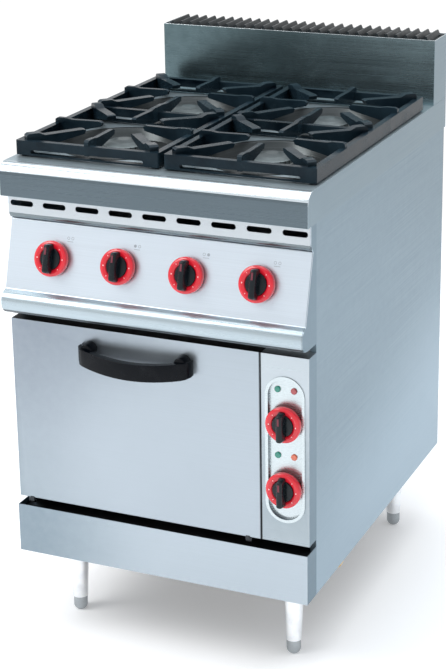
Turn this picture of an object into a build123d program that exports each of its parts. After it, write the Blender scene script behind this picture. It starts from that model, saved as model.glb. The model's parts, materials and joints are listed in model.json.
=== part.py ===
from build123d import *
from math import atan2, cos, degrees, radians, sin
import os

# Free-standing four-burner gas range over an electric oven.
# Origin: middle of the footprint on the floor. +Z up, front faces -Y, +X to the right.

# Driving dimensions, in millimetres
range_width = 600.0
body_depth = 785.0  # kickplate face to back
leg_height = 164.0
kick_height = 97.0
sheet = 1.5
top_sheet = 2.0
gap = 0.3  # between pieces of different bodies
lip = 6.0  # narrow rims and ledges
pin_play = 0.05  # radial play of a hinge pin

# Side panels
side_inset = 3.0
side_flange = 12.0
back_slot_length = 60.0
back_slot_height = 8.0
back_slot_pitch = (90.0, 24.0)
back_slot_counts = (5, 4)

# Worktop
apron_height = 62.0
apron_overhang = 2.0
bullnose = 22.0

# Splashback
splash_height = 140.0
splash_depth = 84.0
splash_rim = 8.0
flue_margin_x = 40.0
flue_margin_y = 17.0
rib_count = 28
rib_height = 13.0
rib_rise = 7.0  # ribs above the splashback's edge
rib_thickness = 7.0
rib_crown = 1.5
grille_sheet = 3.0

# Vent strip and slanted control panel, measured back from the kickplate face
strip_setback = 20.0
strip_drop = 36.0
slot_count = 9
slot_pitch = 67.0
slot_length = 47.0
slot_height = 10.5
slot_drop = 17.0
panel_top_setback = 31.0
panel_top_drop = 51.0
panel_foot_reach = 5.0
panel_foot_drop = 176.0
nose_reach = 23.0
nose_height = 46.0
nose_top_r = 18.0
nose_foot_r = 20.0
fold_r = 3.0
spindle_hole_r = 7.0

# Door and oven control column
door_setback = 10.0
door_thickness = 34.0
door_gap = 1.0  # closed door to the side panels
kick_gap = 14.0  # kickplate to door
door_sill = 32.0  # door's bottom edge to the oven floor
door_head = 29.0  # oven roof to the door's top edge
nose_gap = 17.0  # door to the nose of the panel
door_split = 203.0
edge_gap = 2.0
hinge_setback = 15.0
hinge_drop = 6.5
hinge_eye = 6.0
hinge_pin_r = 3.0
hinge_eye_width = 8.0
lug_inset = 26.0
gasket_width = 9.0
gasket_inset = 8.0
front_overlap = 8.0

# Handle
handle_span = 228.0
handle_x = -37.0
handle_top = 37.0
handle_bow = 38.0
handle_sag = 20.0
handle_height = 32.0
handle_thickness = 14.0
handle_foot_r = 14.0
handle_foot_inset = 19.0
handle_foot_length = 16.0
screw_r = 2.5
screw_grip = 12.0

# Oven
cavity_width = 400.0
cavity_height = 300.0
cavity_depth = 560.0
cavity_x = -47.0
insulation = 30.0
element_r = 4.0
rack_wire_r = 3.0
rack_levels = (90.0, 190.0)
rack_play = 2.0
rack_pitch = 32.0
rack_edge_room = 40.0
rack_front_room = 36.0
rack_back_room = 34.0
guide_depth = 14.0
guide_height = 14.0
guide_end_room = 30.0
element_side_room = 55.0
element_front_room = 90.0
element_low = 22.0
element_high = 24.0
element_bend_r = 45.0

# Legs
leg_inset_x = 72.0
leg_front_y = 105.0
leg_back_y = 90.0
leg_top_r = 20.0
leg_foot_r = 15.5
leg_flange = 3.0
leg_flange_width = 10.0
leg_taper_drop = 30.0
foot_height = 29.0
foot_shoulder = 12.0
foot_curve = 14.0
foot_r = 14.0
foot_tip_r = 8.0
stem_r = 6.0
stem_length = 75.0
frame_tube = 30.0
frame_wall = 2.5

# Knobs
knob_r = 33.0
knob_skirt = 10.0
knob_grip_height = 22.0
knob_grip_width = 14.0
knob_lift = 5.0
knob_pitch = 135.0
knob_bevel = 4.0
knob_dish = 11.0
knob_hub = 2.0
grip_margin = 8.0
grip_taper = 4.0
spindle_r = 4.0
spindle_reach = 22.0
push_travel = 3.5
valve_r = 13.0
valve_length = 42.0
valve_bore = 26.0
valve_seat = 4.0
manifold_r = 11.0

# Oven controls
bezel_width = 76.0
bezel_height = 281.0
bezel_rise = 181.5  # above the door's bottom edge
bezel_depth = 5.0
bezel_rim = 3.0
oven_knob_rises = (108.0, 234.0)
knob_clearance = 1.5
lamp_rise = 61.0
lamp_pitch = 31.0
lamp_r = 6.0
lamp_dome = 3.0
lamp_tip_r = 2.0
lamp_seat = 1.0
lamp_depth = 12.0
shaft_r = 3.0
shaft_depth = 18.0
shaft_hole = 2.0
thermostat_size = (40.0, 46.0, 34.0)

# Burners and grates
burner_x = 150.0
burner_mid_y = 350.5
burner_cup_r = 44.0
burner_neck_r = 28.0
burner_wall = 5.0
burner_cap_r = 39.0
burner_drop = 6.0
cap_height = 15.0
cap_steps = (5.0, 12.0)
cap_slot_count = 24
cap_slot_width = 2.4
cup_rim = 12.0
cup_slope = 26.0
jet_gap = 8.0
tube_r = 12.0
well_r = 118.0
pan_depth = 20.0
pan_hole_r = 50.0
pan_lip = 4.0
pan_slope = 14.0
grate_width = 289.0
grate_length = 595.0
grate_bar = 12.0
grate_base = 3.0
bar_height = 27.0
finger_rise = 10.0
straight_fin = (43.0, 2.0, 9.0)  # tip from the burner's middle, dip, width
diagonal_fin = (76.0, 5.0, 17.0)
grate_corner_r = 3.0
frame_slot_height = 7.0
frame_slot_margin = 60.0

# Gas inlet and cable gland
inlet_setback = 214.0
inlet_r = 10.0
stub_collar = 12.0
stub_flare = 2.0
elbow_drop = 8.0
stub_length = 18.0
gland_r = 11.0
gland_bore_r = 7.0
gland_x = 245.0
gland_rise = 65.0
gland_nut = 8.0
gland_nut_side = 15.0
gland_length = 18.0
elbow_nut = 6.0
elbow_nut_side = 3.0
stub_wall = 4.0

# Places worked out from the driving dimensions
half_width = range_width / 2
door_bottom_z = leg_height + kick_height + kick_gap
door_height = door_sill + cavity_height + door_head
door_top_z = door_bottom_z + door_height
worktop_z = door_top_z + nose_gap + nose_height + panel_foot_drop + apron_height
cavity_floor_z = door_bottom_z + door_sill
bezel_centre_z = door_bottom_z + bezel_rise
oven_knob_z = [door_bottom_z + rise for rise in oven_knob_rises]
gland_z = leg_height + gland_rise
side_setback = door_setback + door_thickness + door_gap
handle_reach = handle_bow + handle_thickness / 2
overhang = handle_reach - door_setback
front = (overhang - body_depth - gland_nut) / 2
back = front + body_depth
apron_z = worktop_z - apron_height
side_x = half_width - side_inset
side_inner = side_x - sheet
flange_x = side_x - side_flange
side_front = front + side_setback
door_front = front + door_setback
door_back = door_front + door_thickness
door_left = -side_x
column_left = door_split + edge_gap
frame_front = side_front + sheet
hinge_y = front + hinge_setback
hinge_z = door_bottom_z - hinge_drop
panel_top = (front + panel_top_setback, worktop_z - apron_height - panel_top_drop)
panel_foot = (front - panel_foot_reach, panel_top[1] - panel_foot_drop + panel_top_drop)
panel_tilt = atan2(panel_top[0] - panel_foot[0], panel_top[1] - panel_foot[1])
panel_normal = (0, -cos(panel_tilt), sin(panel_tilt))
panel_mid = ((panel_top[0] + panel_foot[0]) / 2, (panel_top[1] + panel_foot[1]) / 2)
nose_foot_z = panel_foot[1] - nose_height
knob_xs = [knob_pitch * (i - 1.5) for i in range(4)]
burner_pitch_y = (grate_length - grate_bar) / 2
burner_ys = [front + burner_mid_y + side * burner_pitch_y / 2 for side in (-1, 1)]
burner_places = [(x, y) for x in (-burner_x, burner_x) for y in burner_ys]
leg_ys = (front + leg_front_y, back - leg_back_y)
leg_places = [(x, y) for x in (leg_inset_x - half_width, half_width - leg_inset_x) for y in leg_ys]
column_x = (column_left + side_x) / 2
inlet_y = front + inlet_setback
drop_x = flange_x - manifold_r - frame_wall
frame_back = back - sheet
handle_z = door_top_z - handle_top
foot_pitch = handle_span - 2 * handle_foot_inset


def keep(part, name):
    """Labels one finished piece and writes it."""
    part.label = name
    export_step(part, f"parts/{name}.step")


def panel_plane(x, lift):
    """A plane parallel to the slanted panel, lifted off its face at one knob."""
    y = panel_mid[0] + panel_normal[1] * lift
    z = panel_mid[1] + panel_normal[2] * lift
    return Plane(origin=(x, y, z), x_dir=(1, 0, 0), z_dir=panel_normal)


def front_plane(x, y, z):
    """An upright plane that faces the front."""
    return Plane(origin=(x, y, z), x_dir=(1, 0, 0), z_dir=(0, -1, 0))


os.makedirs("parts", exist_ok=True)

# Base frame: two side rails, a front and a back rail, and two hat rails under the oven
rail_length = frame_back - front - sheet
rail_mid_y = (frame_back + front + sheet) / 2
with BuildPart() as base_frame:
    for rise, mode in ((0, Mode.ADD), (frame_wall, Mode.SUBTRACT)):
        with BuildSketch(Plane.XY.offset(leg_height + rise)):
            with Locations((0, rail_mid_y)):
                Rectangle(2 * flange_x, rail_length)
                Rectangle(2 * (flange_x - frame_tube), rail_length - 2 * frame_tube, mode=Mode.SUBTRACT)
            for y in leg_ys:
                with Locations((0, y)):
                    Rectangle(2 * flange_x, 2 * frame_tube)
            offset(amount=-rise)
        extrude(amount=frame_tube - rise, mode=mode)
    with BuildSketch(Plane.XY.offset(leg_height + frame_wall)):
        with Locations((cavity_x, (leg_ys[0] + leg_ys[1]) / 2)):
            with GridLocations(cavity_width * 0.6, 0, 2, 1):
                Rectangle(frame_tube, leg_ys[1] - leg_ys[0])
                Rectangle(frame_tube - 2 * frame_wall, leg_ys[1] - leg_ys[0], mode=Mode.SUBTRACT)
    extrude(amount=cavity_floor_z - insulation - leg_height - frame_wall)
    with BuildSketch(Plane.XY.offset(leg_height)):
        with Locations((drop_x, inlet_y)):
            Circle(manifold_r)
    extrude(amount=frame_tube, mode=Mode.SUBTRACT)
keep(base_frame.part, "base_frame")

# Side panels: folded trays, open to the inside
side_length = frame_back - side_front
side_mid_y = (frame_back + side_front) / 2
side_rise = apron_z - leg_height
for side, name in ((-1, "left_side_panel"), (1, "right_side_panel")):
    with BuildPart() as side_panel:
        with BuildSketch(Plane.YZ.offset(side * flange_x)):
            with Locations((side_mid_y, leg_height + side_rise / 2)):
                Rectangle(side_length, side_rise)
        extrude(amount=side * side_flange)
        with BuildSketch(Plane.YZ.offset(side * flange_x)):
            with Locations((side_mid_y, leg_height + side_rise / 2)):
                Rectangle(side_length - 2 * sheet, side_rise - 2 * sheet)
        extrude(amount=side * (side_flange - sheet), mode=Mode.SUBTRACT)
    keep(side_panel.part, name)

# Back panel, with rows of air slots and the hole for the cable gland
with BuildPart() as back_panel:
    with BuildSketch(front_plane(0, back, leg_height)):
        with Locations((0, side_rise / 2)):
            Rectangle(2 * side_x, side_rise)
        with Locations((0, side_rise * 0.8)):
            with GridLocations(*back_slot_pitch, *back_slot_counts):
                SlotOverall(back_slot_length, back_slot_height, mode=Mode.SUBTRACT)
        with Locations((gland_x, gland_z - leg_height)):
            Circle(gland_r, mode=Mode.SUBTRACT)
    extrude(amount=sheet)
keep(back_panel.part, "back_panel")

# Kickplate: front sheet with side returns and a bottom flange
with BuildPart() as kickplate:
    with BuildSketch(Plane.XY.offset(leg_height)):
        with Locations((0, front + side_setback / 2)):
            Rectangle(2 * side_x, side_setback)
        with Locations((0, front + sheet + side_setback / 2)):
            Rectangle(2 * side_inner, side_setback, mode=Mode.SUBTRACT)
    extrude(amount=kick_height)
keep(kickplate.part, "kickplate")

# Worktop: folded sheet with a bullnose front, four burner wells and a flue slot
top_front = front - apron_overhang
with BuildPart() as worktop:
    for wall, mode in ((0, Mode.ADD), (top_sheet, Mode.SUBTRACT)):
        low = apron_z - wall
        face_y = top_front + wall
        skin_z = worktop_z - wall
        with BuildSketch(Plane.YZ):
            with BuildLine():
                Polyline((top_front + bullnose, skin_z), (back - wall, skin_z), (back - wall, low))
                Polyline((back - wall, low), (face_y, low), (face_y, worktop_z - bullnose))
                RadiusArc((face_y, worktop_z - bullnose), (top_front + bullnose, skin_z), bullnose - wall)
            make_face()
        extrude(amount=half_width - wall, both=True, mode=mode)
    with BuildSketch(Plane.XY.offset(worktop_z)):
        with Locations(burner_places):
            Circle(well_r)
        with Locations((0, back - splash_depth / 2)):
            Rectangle(range_width - 2 * flue_margin_x, splash_depth - 2 * flue_margin_y)
    extrude(amount=-2 * top_sheet, mode=Mode.SUBTRACT)
keep(worktop.part, "worktop")

# Drip pans: shallow dishes that hang in the wells by their rims
with BuildPart() as drip_pans:
    for x, y in burner_places:
        with BuildSketch(Plane(origin=(x, y, worktop_z), x_dir=(1, 0, 0), z_dir=(0, -1, 0))):
            with BuildLine():
                Polyline(
                    (pan_hole_r, pan_lip - pan_depth),
                    (pan_hole_r + lip, -pan_depth),
                    (well_r - pan_slope, -pan_depth),
                    (well_r - sheet, 0),
                    (well_r + lip, 0),
                    (well_r + lip, sheet),
                    (well_r - 2 * sheet, sheet),
                    (well_r - pan_slope - sheet / 2, sheet - pan_depth),
                    (pan_hole_r + lip, sheet - pan_depth),
                    (pan_hole_r, pan_lip + sheet - pan_depth),
                    close=True,
                )
            make_face()
        revolve(axis=Axis((x, y, 0), (0, 0, 1)))
keep(drip_pans.part, "drip_pans")

# Splashback: hollow flue hood with a rim around its open top
with BuildPart() as splashback:
    with BuildSketch(Plane.XY.offset(worktop_z)):
        with Locations((0, back - splash_depth / 2)):
            Rectangle(range_width, splash_depth)
            Rectangle(range_width - 2 * sheet, splash_depth - 2 * sheet, mode=Mode.SUBTRACT)
    extrude(amount=splash_height - rib_rise)
    with BuildSketch(Plane.XY.offset(worktop_z + splash_height - rib_height - sheet)):
        with Locations((0, back - splash_depth / 2)):
            Rectangle(range_width, splash_depth)
            Rectangle(range_width - 2 * splash_rim, splash_depth - 2 * splash_rim, mode=Mode.SUBTRACT)
    extrude(amount=sheet)
keep(splashback.part, "splashback")

# Flue grille: a cast frame with a row of wedge-shaped ribs
grille_z = worktop_z + splash_height - rib_height
grille_width = range_width - 2 * sheet
grille_depth = splash_depth - 2 * sheet
rib_pitch = (grille_width - 2 * splash_rim) / rib_count
with BuildPart() as flue_grille:
    with BuildSketch(Plane.XY.offset(grille_z)):
        with Locations((0, back - splash_depth / 2)):
            Rectangle(grille_width, grille_depth)
            Rectangle(grille_width - 2 * splash_rim, grille_depth - 2 * splash_rim, mode=Mode.SUBTRACT)
    extrude(amount=grille_sheet)
    for i in range(rib_count):
        x = rib_pitch * (i - (rib_count - 1) / 2)
        with BuildSketch(front_plane(x, back - splash_depth / 2, grille_z)):
            with BuildLine():
                Polyline(
                    (-rib_thickness, 0),
                    (rib_thickness, 0),
                    (rib_crown, rib_height),
                    (-rib_crown, rib_height),
                    close=True,
                )
            make_face()
        extrude(amount=grille_depth / 2, both=True)
keep(flue_grille.part, "flue_grille")

# Vent strip under the apron, rolled back at its foot into the slanted panel
strip_y = front + strip_setback
strip_foot_z = apron_z - strip_drop
with BuildPart() as vent_strip:
    with BuildSketch(Plane.YZ):
        with BuildLine():
            Line((strip_y, apron_z), (strip_y, strip_foot_z))
            JernArc((strip_y, strip_foot_z), (0, -1), panel_top[0] - strip_y, 80)
        trace(line_width=sheet)
    extrude(amount=side_inner, both=True)
    with BuildSketch(front_plane(0, strip_y - sheet, apron_z - slot_drop)):
        with GridLocations(slot_pitch, 0, slot_count, 1):
            SlotOverall(slot_length, slot_height)
    extrude(amount=-3 * sheet, mode=Mode.SUBTRACT)
keep(vent_strip.part, "vent_strip")

# Control fascia: slanted panel, rolled nose and the two end caps
nose_y = front - nose_reach
nose_top = (nose_y, panel_foot[1] - nose_height / 6)
nose_low = (nose_y, nose_foot_z + nose_height / 12)
nose_back = (front + panel_foot_reach, nose_foot_z)
with BuildPart() as control_fascia:
    with BuildSketch(Plane.YZ):
        with BuildLine():
            FilletPolyline(
                (side_front, panel_top[1] + sheet),
                (panel_top[0], panel_top[1] + sheet),
                panel_foot,
                nose_top,
                nose_low,
                nose_back,
                (side_front, nose_foot_z),
                radius=(fold_r, fold_r, nose_top_r, nose_foot_r, fold_r),
            )
        trace(line_width=sheet)
    extrude(amount=side_inner, both=True)
    for side in (-1, 1):
        with BuildSketch(Plane.YZ.offset(side * side_inner)):
            with BuildLine():
                FilletPolyline(
                    (side_front, apron_z),
                    (strip_y, apron_z),
                    (strip_y, strip_foot_z),
                    (panel_top[0], panel_top[1]),
                    panel_foot,
                    nose_top,
                    nose_low,
                    nose_back,
                    (side_front, nose_foot_z),
                    radius=(0, 0, fold_r, fold_r, fold_r, nose_top_r, nose_foot_r, fold_r, 0),
                    close=True,
                )
            make_face()
        extrude(amount=side * sheet)
    for x in knob_xs:
        with BuildSketch(panel_plane(x, sheet)):
            Circle(spindle_hole_r)
        extrude(amount=-4 * sheet, mode=Mode.SUBTRACT)
keep(control_fascia.part, "control_fascia")

# Gas manifold: main pipe behind the panel, and the drop to the inlet elbow
manifold_lift = -valve_length - sheet - gap
manifold_y = panel_mid[0] + panel_normal[1] * (manifold_lift - manifold_r)
manifold_z = panel_mid[1] + panel_normal[2] * (manifold_lift - manifold_r)
with BuildPart() as gas_manifold:
    with BuildSketch(Plane.YZ.offset(-knob_pitch * 1.5 - 2 * manifold_r)):
        with Locations((manifold_y, manifold_z)):
            Circle(manifold_r)
    extrude(amount=knob_pitch * 1.5 + 2 * manifold_r + drop_x)
    with BuildSketch(Plane.XZ.offset(-manifold_y)):
        with Locations((drop_x, manifold_z)):
            Circle(manifold_r)
    extrude(amount=-(inlet_y - manifold_y))
    with BuildSketch(Plane.XY.offset(manifold_z)):
        with Locations((drop_x, inlet_y)):
            Circle(manifold_r)
    extrude(amount=-(manifold_z - leg_height + elbow_drop))
    with Locations((drop_x, manifold_y, manifold_z), (drop_x, inlet_y, manifold_z)):
        Sphere(manifold_r)
keep(gas_manifold.part, "gas_manifold")

# Gas inlet: brass elbow below the pipe drop, with a threaded stub facing back
stub_z = leg_height - elbow_drop - inlet_r - stub_flare
with BuildPart() as gas_inlet:
    with BuildSketch(Plane.XY.offset(leg_height - elbow_drop)):
        with Locations((drop_x, inlet_y)):
            RegularPolygon(inlet_r + elbow_nut_side, 6)
    extrude(amount=-elbow_nut)
    with BuildSketch(Plane.XY.offset(leg_height - elbow_drop - elbow_nut)):
        with Locations((drop_x, inlet_y)):
            Circle(inlet_r)
    extrude(amount=-inlet_r)
    with Locations((drop_x, inlet_y, stub_z)):
        Sphere(inlet_r)
    with BuildSketch(Plane.XZ.offset(-inlet_y)):
        with Locations((drop_x, stub_z)):
            Circle(inlet_r + stub_flare)
    extrude(amount=-stub_collar)
    with BuildSketch(Plane.XZ.offset(-inlet_y - stub_collar)):
        with Locations((drop_x, stub_z)):
            Circle(inlet_r)
    extrude(amount=-stub_length)
    with BuildSketch(Plane.XZ.offset(-inlet_y - stub_collar - stub_length)):
        with Locations((drop_x, stub_z)):
            Circle(inlet_r - stub_wall)
    extrude(amount=stub_collar + stub_length, mode=Mode.SUBTRACT)
keep(gas_inlet.part, "gas_inlet")

# Gas valves on the manifold, each bored for its spindle
with BuildPart() as gas_valves:
    for x in knob_xs:
        with BuildSketch(panel_plane(x, -sheet - gap)):
            Circle(valve_r)
        extrude(amount=-valve_length)
        with BuildSketch(panel_plane(x, -sheet - gap)):
            Circle(spindle_r + gap)
        extrude(amount=-valve_bore, mode=Mode.SUBTRACT)
keep(gas_valves.part, "gas_valves")

# Spindles and knobs. Each spindle is pushed in and carries its knob, which turns on it.
spindle_in = valve_bore - push_travel - valve_seat
for i, x in enumerate(knob_xs, start=1):
    with BuildPart() as spindle:
        with BuildSketch(panel_plane(x, spindle_reach)):
            Circle(spindle_r)
        extrude(amount=-(spindle_reach + sheet + spindle_in))
    keep(spindle.part, f"spindle_{i}")


def knob_body(face):
    """A round skirt with a dished top and a bar grip, standing on a face plane."""
    with BuildPart() as body:
        with BuildSketch(face):
            Circle(knob_r)
        skirt = extrude(amount=knob_skirt)
        rims = skirt.edges().filter_by(GeomType.CIRCLE).group_by(Axis(face.origin, face.z_dir))
        chamfer(rims[-1], knob_bevel)
        grip_face = face.offset(knob_skirt)
        with BuildSketch(grip_face):
            Circle(knob_r - knob_dish)
        extrude(amount=knob_hub)
        with BuildSketch(grip_face):
            SlotOverall(2 * (knob_r - grip_margin), knob_grip_width, rotation=90)
        extrude(amount=knob_grip_height, taper=grip_taper)
    return body.part


for i, x in enumerate(knob_xs, start=1):
    knob_shape = knob_body(panel_plane(x, knob_lift))
    with BuildPart() as knob:
        add(knob_shape)
        with BuildSketch(panel_plane(x, knob_lift)):
            Circle(spindle_r + gap)
        extrude(amount=spindle_reach - knob_lift + gap, mode=Mode.SUBTRACT)
    keep(knob.part, f"knob_{i}")

# Oven front flange with the cavity behind it
cavity_top_z = cavity_floor_z + cavity_height
cavity_mid_z = cavity_floor_z + cavity_height / 2
flange_low_z = hinge_z - hinge_eye
flange_top_z = door_top_z + front_overlap
with BuildPart() as oven_cavity:
    with BuildSketch(front_plane(0, frame_front + sheet, 0)):
        with Locations((0, (flange_low_z + flange_top_z) / 2)):
            Rectangle(2 * side_inner, flange_top_z - flange_low_z)
        with Locations((column_x, bezel_centre_z)):
            Rectangle(bezel_width - 2 * lip, bezel_height - 2 * lip, mode=Mode.SUBTRACT)
    extrude(amount=sheet)
    with BuildSketch(front_plane(cavity_x, frame_front, cavity_mid_z)):
        Rectangle(cavity_width + 2 * sheet, cavity_height + 2 * sheet)
    extrude(amount=-cavity_depth - sheet)
    with BuildSketch(front_plane(cavity_x, frame_front, cavity_mid_z)):
        Rectangle(cavity_width, cavity_height)
    extrude(amount=-cavity_depth, mode=Mode.SUBTRACT)
keep(oven_cavity.part, "oven_cavity")

# Insulation round the back, the roof, the floor and the walls of the cavity
with BuildPart() as oven_insulation:
    with BuildSketch(front_plane(cavity_x, frame_front + sheet, cavity_mid_z)):
        Rectangle(cavity_width + 2 * insulation, cavity_height + 2 * insulation)
    extrude(amount=-cavity_depth - insulation)
    with BuildSketch(front_plane(cavity_x, frame_front + sheet, cavity_mid_z)):
        Rectangle(cavity_width + 2 * sheet, cavity_height + 2 * sheet)
    extrude(amount=-cavity_depth, mode=Mode.SUBTRACT)
keep(oven_insulation.part, "oven_insulation")

# Rack guides: a channel on each wall at each level
guide_length = cavity_depth - 2 * guide_end_room
guide_mid_y = frame_front + guide_end_room + guide_length / 2
rack_reach = cavity_width / 2 - rack_play
with BuildPart() as rack_guides:
    for level in rack_levels:
        with BuildSketch(Plane.XZ.offset(-guide_mid_y)):
            for side in (-1, 1):
                wall_x = cavity_x + side * cavity_width / 2
                low = cavity_floor_z + level
                with Locations((wall_x - side * guide_depth / 2, low - sheet)):
                    Rectangle(guide_depth, 2 * sheet)
                with Locations((wall_x - side * guide_depth / 2, low + guide_height)):
                    Rectangle(guide_depth, 2 * sheet)
                with Locations((wall_x - side * sheet / 2, low + guide_height / 2)):
                    Rectangle(sheet, guide_height)
        extrude(amount=guide_length / 2, both=True)
keep(rack_guides.part, "rack_guides")

# Heating elements: a bent tube under the roof and another over the floor
element_width = cavity_width - 2 * element_side_room
element_length = cavity_depth - element_front_room
with BuildPart() as heating_elements:
    for z in (cavity_floor_z + element_low, cavity_top_z - element_high):
        back_y = frame_front + cavity_depth
        near_y = back_y - element_length
        half = element_width / 2
        with BuildLine(Plane.XY.offset(z)) as element_path:
            FilletPolyline(
                (cavity_x - half, back_y),
                (cavity_x - half, near_y),
                (cavity_x + half, near_y),
                (cavity_x + half, back_y),
                radius=element_bend_r,
            )
        with BuildSketch(Plane.XZ.offset(-back_y)):
            with Locations((cavity_x - half, z)):
                Circle(element_r)
        sweep(path=element_path.line)
keep(heating_elements.part, "heating_elements")

# Racks: a rim with wires from front to back
rack_length = cavity_depth - rack_front_room - rack_back_room
rack_mid_y = frame_front + rack_front_room + rack_length / 2
wire_count = int((2 * rack_reach - rack_edge_room) / rack_pitch)
for i, level in enumerate(rack_levels, start=1):
    rack_z = cavity_floor_z + level + rack_wire_r + gap
    with BuildPart() as oven_rack:
        with BuildSketch(Plane.XY.offset(rack_z - rack_wire_r)):
            with Locations((cavity_x, rack_mid_y)):
                Rectangle(2 * rack_reach - 2 * sheet, rack_length)
                Rectangle(
                    2 * (rack_reach - sheet - 2 * rack_wire_r),
                    rack_length - 4 * rack_wire_r,
                    mode=Mode.SUBTRACT,
                )
        extrude(amount=2 * rack_wire_r)
        with BuildSketch(Plane.XZ.offset(-rack_mid_y)):
            with Locations((cavity_x, rack_z)):
                with GridLocations(rack_pitch, 0, wire_count, 1):
                    Circle(0.8 * rack_wire_r)
        extrude(amount=rack_length / 2 - rack_wire_r, both=True)
    keep(oven_rack.part, f"oven_rack_{i}")

# Oven door: outer tray with hinge lugs, insulation and inner liner
door_width = door_split - door_left
door_mid_x = (door_split + door_left) / 2
door_mid_z = (door_bottom_z + door_top_z) / 2
lug_xs = [door_left + lug_inset, door_split - lug_inset]
with BuildPart() as door_outer:
    with BuildSketch(front_plane(door_mid_x, door_back - sheet, door_mid_z)):
        Rectangle(door_width, door_height)
    extrude(amount=door_thickness - sheet)
    with BuildSketch(front_plane(door_mid_x, door_back - sheet, door_mid_z)):
        Rectangle(door_width - 2 * sheet, door_height - 2 * sheet)
    extrude(amount=door_thickness - 2 * sheet, mode=Mode.SUBTRACT)
    for x in lug_xs:
        with BuildSketch(Plane.YZ.offset(x)):
            with Locations((hinge_y, hinge_z)):
                Circle(hinge_eye)
            with Locations((hinge_y, (hinge_z + door_bottom_z + sheet) / 2)):
                Rectangle(2 * hinge_eye, door_bottom_z + sheet - hinge_z)
            with Locations((hinge_y, hinge_z)):
                Circle(hinge_pin_r + pin_play, mode=Mode.SUBTRACT)
        extrude(amount=hinge_eye_width / 2, both=True)
    with BuildSketch(front_plane(handle_x, door_front, handle_z)):
        with GridLocations(foot_pitch, 0, 2, 1):
            Circle(screw_r)
    extrude(amount=-sheet, mode=Mode.SUBTRACT)
keep(door_outer.part, "door_outer")

# Door insulation, hollowed round the screw heads
with BuildPart() as door_insulation:
    with BuildSketch(front_plane(door_mid_x, door_back - sheet, door_mid_z)):
        Rectangle(door_width - 2 * sheet, door_height - 2 * sheet)
    extrude(amount=door_thickness - 2 * sheet)
    with BuildSketch(front_plane(handle_x, door_front + sheet, handle_z)):
        with GridLocations(foot_pitch, 0, 2, 1):
            Circle(2 * screw_r)
    extrude(amount=-screw_r, mode=Mode.SUBTRACT)
keep(door_insulation.part, "door_insulation")

# Door inner liner
with BuildPart() as door_inner:
    with BuildSketch(front_plane(door_mid_x, door_back, door_mid_z)):
        Rectangle(door_width, door_height)
    extrude(amount=sheet)
keep(door_inner.part, "door_inner")

# Gasket on the oven front, just clear of the closed door
with BuildPart() as door_gasket:
    with BuildSketch(front_plane(cavity_x, frame_front, cavity_mid_z)):
        RectangleRounded(
            cavity_width + 2 * (gasket_inset + gasket_width),
            cavity_height + 2 * (gasket_inset + gasket_width),
            gasket_inset + lip,
        )
        RectangleRounded(
            cavity_width + 2 * gasket_inset,
            cavity_height + 2 * gasket_inset,
            gasket_inset,
            mode=Mode.SUBTRACT,
        )
    extrude(amount=frame_front - door_back - gap)
keep(door_gasket.part, "door_gasket")

# Hinge brackets: an eye, a pin and an arm back to the oven front
bracket_offset = hinge_eye_width / 2 + gap + sheet
with BuildPart() as hinge_brackets:
    for x, side in zip(lug_xs, (-1, 1)):
        plate_x = x + side * bracket_offset
        with BuildSketch(Plane.YZ.offset(plate_x)):
            with Locations((hinge_y, hinge_z)):
                Circle(hinge_eye)
            with Locations(((hinge_y + frame_front) / 2, hinge_z)):
                Rectangle(frame_front - hinge_y, 2 * hinge_eye)
        extrude(amount=sheet, both=True)
        with BuildSketch(Plane.YZ.offset(plate_x)):
            with Locations((hinge_y, hinge_z)):
                Circle(hinge_pin_r)
        extrude(amount=-side * (bracket_offset + hinge_eye_width / 2 + 2))
keep(hinge_brackets.part, "hinge_brackets")

# Door handle: a bar that bows outwards and sags towards its middle, on two round feet
half_span = handle_span / 2
with BuildPart() as door_handle:
    with BuildSketch(Plane.XY.offset(handle_z)):
        with BuildLine():
            ThreePointArc(
                (handle_x - half_span, door_front),
                (handle_x, door_front - handle_reach),
                (handle_x + half_span, door_front),
            )
            Line((handle_x + half_span, door_front), (handle_x + half_span - handle_thickness, door_front))
            ThreePointArc(
                (handle_x + half_span - handle_thickness, door_front),
                (handle_x, door_front - handle_reach + handle_thickness),
                (handle_x - half_span + handle_thickness, door_front),
            )
            Line((handle_x - half_span + handle_thickness, door_front), (handle_x - half_span, door_front))
        make_face()
    extrude(amount=handle_height + handle_sag, both=True)
    with BuildSketch(front_plane(handle_x, door_front, handle_z)):
        with BuildLine():
            ThreePointArc(
                (-half_span, handle_height / 2),
                (0, handle_height / 2 - handle_sag),
                (half_span, handle_height / 2),
            )
            Line((half_span, handle_height / 2), (half_span, -handle_height / 2))
            ThreePointArc(
                (half_span, -handle_height / 2),
                (0, -handle_height / 2 - handle_sag),
                (-half_span, -handle_height / 2),
            )
            Line((-half_span, -handle_height / 2), (-half_span, handle_height / 2))
        make_face()
    extrude(amount=handle_reach, mode=Mode.INTERSECT)
    with BuildSketch(front_plane(handle_x, door_front, handle_z)):
        with GridLocations(foot_pitch, 0, 2, 1):
            Circle(handle_foot_r)
    extrude(amount=handle_foot_length)
    with BuildSketch(front_plane(handle_x, door_front, handle_z)):
        with GridLocations(foot_pitch, 0, 2, 1):
            Circle(screw_r)
    extrude(amount=screw_grip, mode=Mode.SUBTRACT)
keep(door_handle.part, "door_handle")

# Handle screws, with their heads behind the door skin
with BuildPart() as handle_screws:
    with BuildSketch(front_plane(handle_x, door_front + sheet, handle_z)):
        with GridLocations(foot_pitch, 0, 2, 1):
            Circle(screw_r)
    extrude(amount=sheet + screw_grip)
    with BuildSketch(front_plane(handle_x, door_front + sheet, handle_z)):
        with GridLocations(foot_pitch, 0, 2, 1):
            Circle(2 * screw_r)
    extrude(amount=-screw_r)
keep(handle_screws.part, "handle_screws")

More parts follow.
